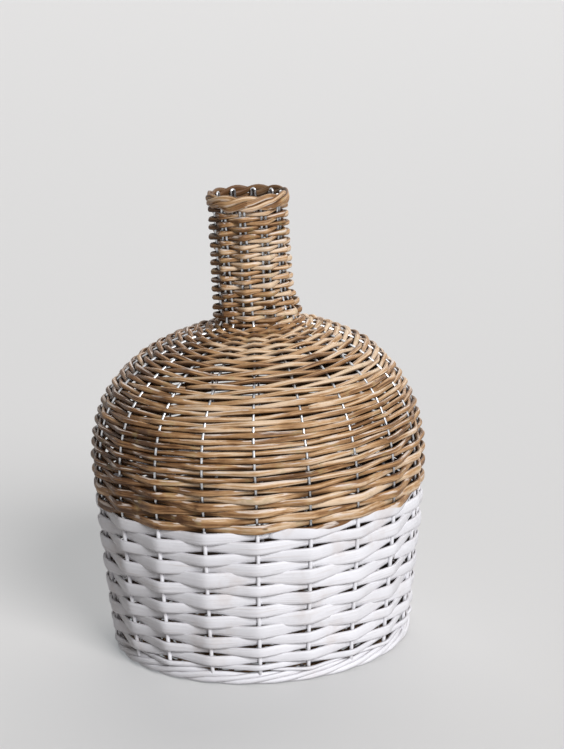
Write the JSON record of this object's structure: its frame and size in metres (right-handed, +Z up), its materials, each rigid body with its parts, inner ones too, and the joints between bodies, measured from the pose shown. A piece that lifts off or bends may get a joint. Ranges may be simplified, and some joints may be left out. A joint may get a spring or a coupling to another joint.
{
  "type": "demijohn basket",
  "caption": "Tall round wicker basket in the shape of a demijohn: domed shoulder, narrow open neck, willow rods woven over bent wires, lower band of split willow painted white.",
  "frame": {"origin": "centre of the footprint, on the surface that the basket stands on", "axes": "+Z up along the neck, -Y towards the pictured front, +X to the right of the picture"},
  "size_m": [0.2593, 0.2593, 0.3546],
  "materials": {
    "painted_willow": "matt white paint on split willow, a little uneven",
    "brown_willow": "satin natural brown willow rods",
    "base_willow": "satin natural brown willow",
    "zinc_wire": "bright galvanised wire"
  },
  "bodies": {
    "root": {"dome_rod_a1": "brown_willow", "dome_rod_a2": "brown_willow", "dome_rod_a3": "brown_willow", "dome_rod_a4": "brown_willow", "dome_rod_a5": "brown_willow", "dome_rod_a6": "brown_willow", "dome_rod_a7": "brown_willow", "dome_rod_a8": "brown_willow", "dome_rod_a9": "brown_willow", "dome_rod_b1": "brown_willow", "dome_rod_b2": "brown_willow", "dome_rod_b3": "brown_willow", "dome_rod_b4": "brown_willow", "dome_rod_b5": "brown_willow", "dome_rod_b6": "brown_willow", "dome_rod_b7": "brown_willow", "dome_rod_b8": "brown_willow", "dome_rod_b9": "brown_willow", "foot_border": "painted_willow", "neck_rod_a1": "brown_willow", "neck_rod_a2": "brown_willow", "neck_rod_a3": "brown_willow", "neck_rod_a4": "brown_willow", "neck_rod_b1": "brown_willow", "neck_rod_b2": "brown_willow", "neck_rod_b3": "brown_willow", "neck_rod_b4": "brown_willow", "rim_border": "brown_willow", "stake_wire_1": "zinc_wire", "stake_wire_10": "zinc_wire", "stake_wire_2": "zinc_wire", "stake_wire_3": "zinc_wire", "stake_wire_4": "zinc_wire", "stake_wire_5": "zinc_wire", "stake_wire_6": "zinc_wire", "stake_wire_7": "zinc_wire", "stake_wire_8": "zinc_wire", "stake_wire_9": "zinc_wire", "white_strip_a1": "painted_willow", "white_strip_a2": "painted_willow", "white_strip_a3": "painted_willow", "white_strip_b1": "painted_willow", "white_strip_b2": "painted_willow", "white_strip_b3": "painted_willow", "woven_base": "base_willow"}
  },
  "joints": []
}
